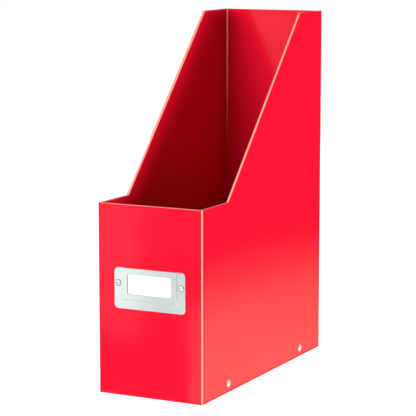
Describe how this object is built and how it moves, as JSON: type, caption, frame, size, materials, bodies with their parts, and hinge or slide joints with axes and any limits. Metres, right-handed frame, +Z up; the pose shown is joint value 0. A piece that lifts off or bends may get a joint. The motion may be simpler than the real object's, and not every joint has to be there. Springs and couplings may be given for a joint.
{
  "type": "magazine file holder",
  "caption": "Open-topped upright magazine file of scored laminated board, with a low front, slanted sides, a riveted label holder and a base held by press-stud flaps.",
  "frame": {"origin": "centre of the file's footprint, with the label holder and the stud caps counted, on the surface it stands on", "axes": "+Z up, +X to the right and -Y towards the viewer, for someone facing the labelled front"},
  "size_m": [0.105, 0.2546, 0.33],
  "materials": {
    "red_board": "gloss",
    "scored_fold": "satin",
    "label_steel": "satin",
    "label_paper": "matte",
    "nickel": "satin",
    "zinc_steel": "satin",
    "spring_wire": "satin"
  },
  "bodies": {
    "case": {"front_panel": "red_board", "back_panel": "red_board", "left_side_panel": "red_board", "right_side_panel": "red_board", "glue_tab": "red_board", "base_panel": "red_board", "front_left_fold": "scored_fold", "front_right_fold": "scored_fold", "back_left_fold": "scored_fold", "back_right_fold": "scored_fold", "base_back_fold": "scored_fold", "left_flap_crease": "scored_fold", "right_flap_crease": "scored_fold", "label_plate": "label_steel", "label_rivet_left": "nickel", "rivet_washer_left": "zinc_steel", "label_rivet_right": "nickel", "rivet_washer_right": "zinc_steel", "snap_cap_left_front": "nickel", "snap_socket_left_front": "zinc_steel", "snap_spring_left_front": "spring_wire", "snap_cap_left_rear": "nickel", "snap_socket_left_rear": "zinc_steel", "snap_spring_left_rear": "spring_wire", "snap_cap_right_front": "nickel", "snap_socket_right_front": "zinc_steel", "snap_spring_right_front": "spring_wire", "snap_cap_right_rear": "nickel", "snap_socket_right_rear": "zinc_steel", "snap_spring_right_rear": "spring_wire"},
    "left_flap": {"left_base_flap": "red_board", "snap_stud_left_front": "nickel", "snap_eyelet_left_front": "zinc_steel", "snap_stud_left_rear": "nickel", "snap_eyelet_left_rear": "zinc_steel"},
    "right_flap": {"right_base_flap": "red_board", "snap_stud_right_front": "nickel", "snap_eyelet_right_front": "zinc_steel", "snap_stud_right_rear": "nickel", "snap_eyelet_right_rear": "zinc_steel"},
    "label_card": {"label_card": "label_paper"}
  },
  "joints": [
    {"name": "label_card_slide", "type": "slide", "parent": "case", "child": "label_card", "axis": [0, 0, 1], "range_m": [0, 0.03]},
    {"name": "left_flap_fold", "type": "hinge", "parent": "case", "child": "left_flap", "pos_m": [-0.044, 0, 0.00265], "axis": [0, 1, 0], "range_deg": [0, 88], "deforming": ["snap_spring_left_front", "snap_spring_left_rear"]},
    {"name": "right_flap_fold", "type": "hinge", "parent": "case", "child": "right_flap", "pos_m": [0.044, 0, 0.00265], "axis": [0, -1, 0], "range_deg": [0, 88], "deforming": ["snap_spring_right_front", "snap_spring_right_rear"]}
  ]
}
